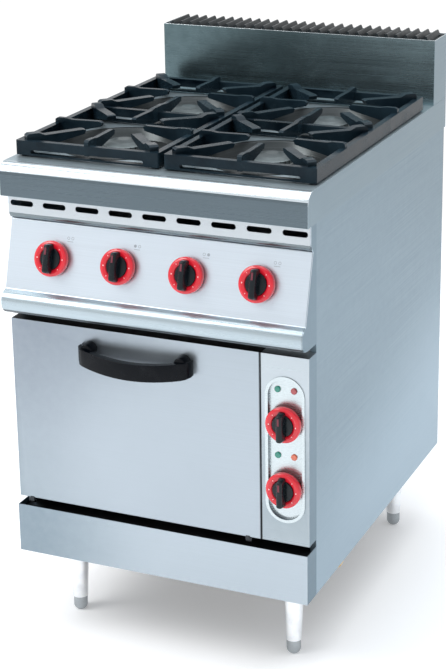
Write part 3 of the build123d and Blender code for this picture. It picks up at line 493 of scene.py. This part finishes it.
# painted highlight: bright copy of the sheet steel for the splashback's top rim
rimHighlightSteel = brushedSteel("rimSheetHighlight", (0.74, 0.80, 0.83), 0.22, marks=0.2, tint=0.04)
steelStrip = brushedSteel("stripSheet", (0.50, 0.54, 0.57), 0.32, marks=0.15, tint=0.03)
# painted shade: dark copy of the sheet steel for the vent strip's rolled band
rollShadeSteel = brushedSteel("rollSheetShade", (0.17, 0.20, 0.215), 0.26, marks=0.3, tint=0.12)
steelOven = brushedSteel("ovenSheet", (0.42, 0.43, 0.45), 0.40, marks=0.5, tint=0.15)
steelPan = brushedSteel("panSheet", (0.070, 0.078, 0.080), 0.36, marks=0.7, tint=0.25)
ironGrate = castEnamel("grateEnamel", (0.001, 0.003, 0.006), (0.008, 0.016, 0.022), 0.20, specular=0.12,
                       metallic=0)
ironGrille = castEnamel("grilleEnamel", (0.003, 0.006, 0.008), (0.008, 0.012, 0.014), 0.34, specular=0.25,
                        metallic=0)
ironBurner = castEnamel("burnerIron", (0.05, 0.058, 0.058), (0.10, 0.11, 0.11), 0.50, worn=0.3)
capMetal = castEnamel("burnerCrown", (0.045, 0.056, 0.058), (0.11, 0.13, 0.135), 0.36, worn=0.4, metallic=0.5)
chromePlate = polishedMetal("legChrome", (0.90, 0.92, 0.94), 0.08)
footChrome = polishedMetal("footChrome", (0.42, 0.45, 0.47), 0.20)
wireChrome = polishedMetal("rackChrome", (0.75, 0.76, 0.78), 0.22)
brassTurned = polishedMetal("turnedBrass", (0.78, 0.55, 0.26), 0.25)
zincPlate = polishedMetal("zincPlate", (0.55, 0.57, 0.60), 0.38)
seamShade = polishedMetal("seamShade", (0.010, 0.011, 0.012), 0.5)
# the hinges' own dark steel, also used as painted shade on the door's foot
hingeSteelAndShade = polishedMetal("hingeSteelAndShade", (0.06, 0.065, 0.07), 0.40)
heaterSheath = castEnamel("heaterSheath", (0.10, 0.09, 0.085), (0.20, 0.17, 0.15), 0.55)
bezelMetal = brushedSteel("bezelSheet", (0.54, 0.60, 0.62), 0.26, marks=0.2, tint=0.04)
bezelWall = polishedMetal("bezelWall", (0.20, 0.23, 0.25), 0.14)
redSkirt = mouldedPlastic("redSkirt", (0.62, 0.008, 0.022), 0.20, coat=0.35)
blackGrip = mouldedPlastic("blackGrip", (0.003, 0.007, 0.010), 0.24, specular=0.30)
handleBlack = mouldedPlastic("handleBlack", (0.001, 0.002, 0.004), 0.20, specular=0.12)
whiteMark = mouldedPlastic("whiteMark", (0.85, 0.60, 0.62), 0.40)
pointerMark = mouldedPlastic("pointerMark", (0.16, 0.03, 0.045), 0.40, specular=0.3)
greyMark = mouldedPlastic("greyMark", (0.30, 0.34, 0.38), 0.45)
glandNylon = mouldedPlastic("glandNylon", (0.02, 0.02, 0.02), 0.5)
greenLens = lampLens("greenLens", (0.006, 0.20, 0.145), 0.05)
redLens = lampLens("redLens", (0.34, 0.05, 0.055), 0.05)
orangeLens = lampLens("orangeLens", (0.58, 0.13, 0.065), 0.06)
mineralWool = woolFibre("mineralWool", (0.72, 0.66, 0.50), 260.0)
# painted shade: near black foil on the oven insulation, whose underside stands in the shade under the oven
foilWrapShade = polishedMetal("foilWrapShade", (0.035, 0.037, 0.040), 0.45)
# painted shade: near black steel for the base rail and the kickplate return, in the gap under the oven
railSteelShade = polishedMetal("railSteelShade", (0.05, 0.052, 0.056), 0.45)
sealWeave = woolFibre("sealWeave", (0.06, 0.06, 0.06), 900.0, 0.8)
print("materials made:", len(bpy.data.materials))

nodeFinish = {
    "base_frame": railSteelShade, "left_side_panel": steelSideShaded, "right_side_panel": steelSideShaded,
    "back_panel": steelSideShaded, "kickplate": steelKickShaded, "worktop": steelTop, "splashback": steelSplashShaded,
    "flue_grille": ironGrille, "control_fascia": steelPanel, "vent_strip": steelStrip,
    "oven_fascia": steelColumnShaded, "oven_bezel": bezelMetal, "oven_cavity": steelOven,
    "oven_insulation": foilWrapShade, "rack_guides": steelOven, "heating_elements": heaterSheath,
    "oven_rack_1": wireChrome, "oven_rack_2": wireChrome, "door_outer": steelDoorShaded,
    "door_inner": steelOven, "door_insulation": mineralWool, "door_gasket": sealWeave,
    "hinge_brackets": hingeSteelAndShade, "handle_screws": zincPlate, "gas_manifold": zincPlate,
    "gas_valves": brassTurned, "gas_inlet": brassTurned, "drip_pans": steelPan,
    "burner_bodies": ironBurner, "thermostat_1": zincPlate, "thermostat_2": zincPlate,
    "cable_gland": glandNylon, "green_lamps": greenLens, "red_lamps": redLens, "left_grate": ironGrate,
    "right_grate": ironGrate, "door_handle": handleBlack, "oven_knob_1": redSkirt,
    "oven_knob_2": redSkirt,
}
for number in range(1, 5):
    nodeFinish[f"leg_{number}"] = chromePlate
    nodeFinish[f"foot_{number}"] = footChrome
    nodeFinish[f"spindle_{number}"] = brassTurned
    nodeFinish[f"knob_{number}"] = redSkirt
    nodeFinish[f"burner_cap_{number}"] = capMetal
for node, material in nodeFinish.items():
    mesh = frame["nodes"][node].data
    mesh.materials.clear()
    mesh.materials.append(material)
print("finishes set on", len(nodeFinish), "nodes")

edgeWidths = {
    "left_side_panel": 0.0006, "right_side_panel": 0.0006, "kickplate": 0.0006, "vent_strip": 0,
    "worktop": 0.0007, "splashback": 0.0006, "oven_fascia": 0.0006, "control_fascia": 0.0005,
    "door_outer": 0.0006, "flue_grille": 0.0006, "oven_bezel": 0.0006, "left_grate": 0.0012,
    "right_grate": 0.0012, "drip_pans": 0.0005, "red_lamps": 0,
}
shells = {node: softened(node, width, nodeFinish[node]) for node, width in edgeWidths.items()}


foldSizes = {"nose": 0.023, "tube": 0.046, "under": 0.012, "rim": 0.0045, "doorFoot": 0.0004, "roll": 0.030}


def paintSheets():
    # gives folds and returns finishes of their own; most are brighter or darker copies of the sheet steel, as
    # painted highlight and painted shade
    f = foldSizes
    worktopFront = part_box("worktop")[0][1]
    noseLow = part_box("control_fascia")[0][2]
    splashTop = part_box("splashback")[1][2]
    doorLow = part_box("oven_fascia")[0][2]
    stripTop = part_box("vent_strip")[1][2]
    lampLow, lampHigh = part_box("red_lamps")
    lampMiddle = (lampLow[2] + lampHigh[2]) / 2
    paintFaces(shells["worktop"], apronShadeSteel, lambda face: face.normal.y < -0.97)
    paintFaces(shells["worktop"], sideEdgeShadeSteel, lambda face: abs(face.normal.x) > 0.9)
    paintFaces(shells["worktop"], noseHighlightSteel, lambda face: (
        -0.97 <= face.normal.y < -0.02 and face.normal.z > 0.05 and face.center.y < worktopFront + f["nose"]))
    paintFaces(shells["control_fascia"], tubeShadeSteel, lambda face: face.center.z < noseLow + f["tube"])
    paintFaces(shells["control_fascia"], underNoseShadeSteel, lambda face: face.center.z < noseLow + f["under"])
    paintFaces(shells["splashback"], sideEdgeShadeSteel, lambda face: abs(face.normal.x) > 0.9)
    paintFaces(shells["splashback"], rimHighlightSteel, lambda face: (
        face.center.z > splashTop - f["rim"] or face.normal.z > 0.5))
    for node in ("kickplate", "oven_fascia", "control_fascia"):
        paintFaces(shells[node], returnShadeSteel, lambda face: abs(face.normal.x) > 0.9)
    # painted shade: the door's foot below the column's lower edge is darkened with the hinge steel
    paintFaces(shells["door_outer"], hingeSteelAndShade, lambda face: face.center.z < doorLow - f["doorFoot"])
    paintFaces(shells["door_outer"], seamShade, lambda face: face.normal.z > 0.6 or face.normal.x > 0.6)
    paintFaces(shells["vent_strip"], rollShadeSteel, lambda face: face.center.z < stripTop - f["roll"])
    paintFaces(shells["oven_bezel"], bezelWall, lambda face: abs(face.normal.y) < 0.6)
    paintFaces(shells["red_lamps"], orangeLens, lambda face: face.center.z < lampMiddle)


paintSheets()
print("rounded edges on", len(edgeWidths), "pieces")


knobSizes = {
    "radius": 0.033, "skirt": 0.010, "dish": 0.0215, "dishDepth": 0.003,
    "rim": 0.0045, "rimRise": 0.0022, "rimFall": 0.0012, "dishWall": 0.0012, "skirtEdge": 0.0011,
    "hubGap": 0.0014, "hubHeight": 0.004, "hubSink": 0.0005, "hubEdge": 0.0014,
    "gripLength": 0.056, "gripWidth": 0.0145, "gripHeight": 0.021, "gripEdge": 0.0042,
    "dotRadius": 0.0013, "firstDot": 1.35, "tickLength": 0.0025, "tickWidth": 0.0012,
    "markThickness": 0.0012, "markRise": 0.0013, "markInset": 0.0012,
    "pointerWidth": 0.0034, "pointerLength": 0.013, "pointerThickness": 0.0008, "pointerPlace": 0.014,
    "pointerRise": 0.0001, "lift": 0.005, "ovenDepth": 0.032,
}


def addCylinder(radius, depth, sides, centre=(0, 0, 0)):
    clearSelection()
    bpy.ops.mesh.primitive_cylinder_add(vertices=sides, radius=radius, depth=depth, location=centre)
    return bpy.context.object


def addBlock(size, centre=(0, 0, 0)):
    clearSelection()
    bpy.ops.mesh.primitive_cube_add(size=1, location=centre)
    piece = bpy.context.object
    piece.scale = size
    bpy.ops.object.transform_apply(location=True, rotation=True, scale=True)
    return piece


def makeSkirt():
    # turned ring, dished inside, standing on z = 0 and facing +z
    k = knobSizes
    ring = addCylinder(k["radius"], k["skirt"], 72, (0, 0, k["skirt"] / 2))
    bpy.ops.object.transform_apply(location=True)

    def shapeTop():
        bpy.ops.mesh.inset(thickness=k["rim"])
        bpy.ops.transform.translate(value=(0, 0, k["rimRise"]))
        bpy.ops.mesh.inset(thickness=k["radius"] - k["rim"] - k["dish"])
        bpy.ops.transform.translate(value=(0, 0, -k["rimFall"]))
        bpy.ops.mesh.inset(thickness=k["dishWall"])
        bpy.ops.transform.translate(value=(0, 0, -k["dishDepth"]))

    editFaces(ring, lambda face: face.normal.z > 0.9, shapeTop)
    applyBevel(ring, k["skirtEdge"], 3, 25)
    return ring


def makeGrip():
    # bar with a rounded back, narrower at its crown, over a round hub
    k = knobSizes
    hub = addCylinder(k["dish"] - k["hubGap"], k["hubHeight"], 56, (0, 0, k["skirt"] - k["hubSink"]))
    bpy.ops.object.transform_apply(location=True)
    applyBevel(hub, k["hubEdge"], 3)
    height = k["gripHeight"]
    bar = addBlock((k["gripWidth"], k["gripLength"], height), (0, 0, k["skirt"] + height / 2))

    def crown():
        bpy.ops.transform.resize(value=(0.72, 0.92, 1))

    editFaces(bar, lambda face: face.normal.z > 0.9, crown)
    applyBevel(bar, k["gripEdge"], 5)
    return joinPieces([hub, bar])


def makeMarks():
    # dots and ticks around the skirt
    k = knobSizes
    marks = []
    middle = (k["radius"] + k["dish"]) / 2 - k["markInset"]
    top = k["skirt"] + k["markRise"]
    for step in range(8):
        angle = radians(90 - 45 * step)
        place = (cos(angle) * middle, sin(angle) * middle, top)
        if step % 2 == 0:
            radius = k["dotRadius"] * (k["firstDot"] if step == 0 else 1)
            dot = addCylinder(radius, k["markThickness"], 16, place)
        else:
            dot = addBlock((k["tickLength"], k["tickWidth"], k["markThickness"]))
            dot.data.transform(Matrix.Translation(place) @ Matrix.Rotation(angle, 4, "Z"))
        makeActive(dot)
        bpy.ops.object.transform_apply(location=True)
        marks.append(dot)
    return joinPieces(marks)


def makePointer():
    k = knobSizes
    size = (k["pointerWidth"], k["pointerLength"], k["pointerThickness"])
    return addBlock(size, (0, k["pointerPlace"], k["skirt"] + k["gripHeight"] + k["pointerRise"]))


skirtModel = makeSkirt()
gripModel = makeGrip()
markModel = makeMarks()
pointerModel = makePointer()


def knobPlace(centre, normal):
    # local +z to the knob's outward normal, local +y to the upward direction on its face
    outward = Vector(normal).normalized()
    across = Vector((1, 0, 0))
    upward = outward.cross(across)
    turn = Matrix((across, upward, outward)).transposed().to_4x4()
    return Matrix.Translation(centre) @ turn


def placeKnob(node, centre, normal, body):
    place = knobPlace(centre, normal)
    skirt = placedCopy(skirtModel, place, node + "_skirt")
    finishPiece(skirt, node + "_skirt", body, redSkirt, smooth=35)
    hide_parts(node)
    grip = placedCopy(gripModel, place, node + "_grip")
    finishPiece(grip, node + "_grip", body, blackGrip, smooth=35)
    marks = placedCopy(markModel, place, node + "_marks")
    finishPiece(marks, node + "_marks", body, whiteMark)
    pointer = placedCopy(pointerModel, place, node + "_pointer")
    finishPiece(pointer, node + "_pointer", body, pointerMark)


def jointNamed(name):
    return next(joint for joint in frame["joints"] if joint["name"] == name)


for number in range(1, 5):
    turning = jointNamed(f"knob_{number}_turn")
    normal = Vector(turning["axis"])
    centre = Vector(turning["pos_m"]) + normal * knobSizes["lift"]
    placeKnob(f"knob_{number}", centre, normal, f"knob_{number}")
for number in (1, 2):
    name = f"oven_knob_{number}"
    centre = Vector(jointNamed(name + "_turn")["pos_m"])
    centre.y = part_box(name)[0][1] + knobSizes["ovenDepth"]
    placeKnob(name, centre, (0, -1, 0), name)
for model in (skirtModel, gripModel, markModel, pointerModel):
    bpy.data.objects.remove(model)
print("knobs placed")


kickReturnSizes = {"depth": 0.062, "drop": 0.0125, "thickness": 0.0012, "lip": 0.012, "inset": 0.002,
                   "edge": 0.0003}


def makeKickReturn():
    # the kickplate's top edge folds back under the oven, with a lip turned down at its rear
    low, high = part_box("kickplate")
    k = kickReturnSizes
    width = high[0] - low[0] - 2 * k["inset"]
    front = low[1] + k["inset"]
    rear = front + k["depth"]
    sheet = addBlock((width, k["depth"], k["thickness"]), (0, front + k["depth"] / 2, high[2] - k["drop"]))

    def extrudeBy(step):
        bpy.ops.mesh.extrude_region_move(TRANSFORM_OT_translate={"value": step})

    editFaces(sheet, lambda face: face.normal.y > 0.9, lambda: extrudeBy((0, k["thickness"], 0)))
    def underRear(face):
        return face.normal.z < -0.9 and face.center.y > rear

    editFaces(sheet, underRear, lambda: extrudeBy((0, 0, -k["lip"])))
    applyBevel(sheet, k["edge"])
    # its near black finish paints the shade in the gap under the oven
    finishPiece(sheet, "kick_return", bodyOf["kickplate"], railSteelShade)


makeKickReturn()
print("kickplate return made")


handleSizes = {
    "height": 0.032, "thickness": 0.014, "sag": 0.010, "endDrop": 0.009, "steps": 32, "landing": 0.10,
    "standOff": 0.010, "endGap": 0.0005, "endThin": 0.1, "endLow": 0.06, "edge": 0.0052,
    "foot": 0.014, "footLength": 0.022, "footInset": 0.019, "footTaper": 0.86, "footEdge": 0.002,
}


def makeHandle():
    # bowed bar that lands on the door at both ends, with a round foot behind each
    h = handleSizes
    low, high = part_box("door_handle")
    doorFace = high[1]
    reach = doorFace - low[1]
    centreX = (low[0] + high[0]) / 2
    half = (high[0] - low[0]) / 2 - h["endGap"]
    centreZ = high[2] - h["height"] / 2
    start = 0.001  # length of the first block, which the steps draw out
    bar = addBlock((start, h["thickness"], h["height"]), (-half, 0, 0))
    step = (2 * half - start) / h["steps"]

    def drawOut():
        for count in range(h["steps"]):
            bpy.ops.mesh.extrude_region_move(TRANSFORM_OT_translate={"value": (step, 0, 0)})

    editFaces(bar, lambda face: face.normal.x > 0.9, drawOut)
    for point in bar.data.vertices:
        along = min(1.0, abs(point.co.x) / half)
        bow = 1 - along * along
        landing = max(0.0, along - 1 + h["landing"]) / h["landing"]
        stand = h["standOff"] * (1 - landing * landing)
        outward = stand + (reach - h["thickness"] - h["standOff"]) * bow
        point.co.y = doorFace - h["thickness"] / 2 - outward + point.co.y * (1 - h["endThin"] * landing)
        point.co.z = centreZ - h["endDrop"] - h["sag"] * bow + point.co.z * (1 - h["endLow"] * landing)
        point.co.x += centreX
    applyBevel(bar, h["edge"], 5, 50)
    feet = []
    taper = (h["footTaper"], h["footTaper"], 1)
    for side in (-1, 1):
        footPlace = (centreX + side * (half - h["footInset"]), doorFace - h["footLength"] / 2, centreZ)
        foot = addCylinder(h["foot"], h["footLength"], 40)
        editFaces(foot, lambda face: face.normal.z > 0.9, lambda: bpy.ops.transform.resize(value=taper))
        foot.data.transform(Matrix.Translation(footPlace) @ Matrix.Rotation(pi / 2, 4, "X"))
        applyBevel(foot, h["footEdge"], 3)
        feet.append(foot)
    handle = joinPieces([bar] + feet)
    finishPiece(handle, "handle_grip", bodyOf["door_handle"], handleBlack, smooth=40)
    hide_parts("door_handle")


makeHandle()
print("handle made")


markSizes = {
    "ring": 0.0028, "wall": 0.0008, "thickness": 0.0004, "pitch": 0.0085, "place": (0.027, 0.040),
    "line": (0.012, 0.0009), "linePlace": (0.031, 0.034), "rise": 0.0009,
}
# column and row of the burner that each knob serves
servedRing = {1: (0, 1), 2: (0, 0), 3: (1, 0), 4: (1, 1)}


def makePositionMark(number):
    # four small rings for the burners, the one this knob serves filled
    m = markSizes
    turning = jointNamed(f"knob_{number}_turn")
    place = knobPlace(Vector(turning["pos_m"]) + Vector(turning["axis"]) * m["rise"], turning["axis"])

    def openRing():
        bpy.ops.mesh.inset(thickness=m["wall"])
        bpy.ops.mesh.bridge_edge_loops()

    shapes = []
    for column in (0, 1):
        for row in (0, 1):
            centre = (m["place"][0] + m["pitch"] * column, m["place"][1] + m["pitch"] * row, 0)
            ring = addCylinder(m["ring"], m["thickness"], 20, centre)
            if (column, row) != servedRing[number]:
                editFaces(ring, lambda face: abs(face.normal.z) > 0.9, openRing)
            makeActive(ring)
            bpy.ops.object.transform_apply(location=True)
            shapes.append(ring)
    shapes.append(addBlock((*m["line"], m["thickness"]), (*m["linePlace"], 0)))
    mark = joinPieces(shapes)
    mark.data.transform(place)
    node = "control_fascia"
    finishPiece(mark, f"burner_mark_{number}", bodyOf[node], greyMark, smooth=0)


for number in range(1, 5):
    makePositionMark(number)
print("burner marks made")


stageSizes = {
    "floor": 6.0, "floorCentre": (0.2, -0.4, 0), "floorGlow": 0.22,
    "floorDark": (0.92, 0.925, 0.935), "floorLight": (0.945, 0.945, 0.95),
    "worldLow": (1.0, 1.0, 1.0), "worldHigh": (0.30, 0.34, 0.38), "worldStrength": 1.05,
}


def makeStage():
    f = stageSizes
    clearSelection()
    bpy.ops.mesh.primitive_plane_add(size=f["floor"], location=f["floorCentre"])
    floor = bpy.context.object
    floor.name = "studio_floor"
    material, tree, surface = newMaterial("paleFloor", f["floorLight"], 0.0, 0.75)
    coords = tree.nodes.new("ShaderNodeTexCoord").outputs["Object"]
    tint = noiseNode(tree, coords, 0.8, 2)
    tree.links.new(mixColour(tree, tint, f["floorDark"], f["floorLight"]), surface.inputs["Base Color"])
    surface.inputs["Emission Color"].default_value = (1, 1, 1, 1)
    surface.inputs["Emission Strength"].default_value = f["floorGlow"]
    floor.data.materials.append(material)


softboxes = [
    {"name": "keyBox", "place": (-2.6, -2.4, 3.6), "target": (0, 0, 0.5), "size": 2.2, "power": 120,
     "colour": (1.0, 0.99, 0.98)},
    {"name": "topBox", "place": (0.3, 0.2, 4.6), "target": (0, 0, 0), "size": 5.0, "power": 190,
     "colour": (0.98, 0.99, 1.0)},
]


def addSoftbox(box):
    light = bpy.data.lights.new(box["name"], "AREA")
    light.shape = "RECTANGLE"
    light.size = box["size"]
    light.size_y = box["size"]
    light.energy = box["power"]
    light.color = box["colour"]
    lamp = bpy.data.objects.new(box["name"], light)
    bpy.context.collection.objects.link(lamp)
    lamp.location = box["place"]
    lamp.rotation_mode = "QUATERNION"
    lamp.rotation_quaternion = (Vector(box["target"]) - Vector(box["place"])).to_track_quat("-Z", "Y")


def makeLight():
    # white near the horizon and greyer overhead, so upright sheets read bright and flat ones duller
    f = stageSizes
    world = bpy.data.worlds.new("studio")
    bpy.context.scene.world = world
    world.use_nodes = True
    tree = world.node_tree
    background = tree.nodes["Background"]
    coords = tree.nodes.new("ShaderNodeTexCoord")
    split = tree.nodes.new("ShaderNodeSeparateXYZ")
    tree.links.new(coords.outputs["Generated"], split.inputs[0])
    rise = rampNode(tree, split.outputs["Z"], 0.10, 0.75)
    tree.links.new(mixColour(tree, rise, f["worldLow"], f["worldHigh"]), background.inputs["Color"])
    background.inputs["Strength"].default_value = f["worldStrength"]
    for box in softboxes:
        addSoftbox(box)
    bpy.context.scene.view_settings.view_transform = "Standard"


cameraView = {
    "place": (1.3565, -3.1105, 1.7634),
    "right": (0.91548, 0.40208, -0.01535),
    "up": (-0.10414, 0.27363, 0.95618),
    "lens": 97.28,
    "shiftY": -0.1502,
    "sensor": 36,
    "farthest": 100,
}


def makeCamera():
    camera = bpy.data.cameras.new("studioCamera")
    camera.lens = cameraView["lens"]
    camera.sensor_width = cameraView["sensor"]
    camera.shift_y = cameraView["shiftY"]
    camera.clip_end = cameraView["farthest"]
    holder = bpy.data.objects.new("studioCamera", camera)
    bpy.context.collection.objects.link(holder)
    right, up = Vector(cameraView["right"]), Vector(cameraView["up"])
    turn = Matrix((right, up, right.cross(up))).transposed().to_4x4()
    holder.matrix_world = Matrix.Translation(cameraView["place"]) @ turn
    bpy.context.scene.camera = holder


makeStage()
makeLight()
makeCamera()
print("stage, light and camera set")
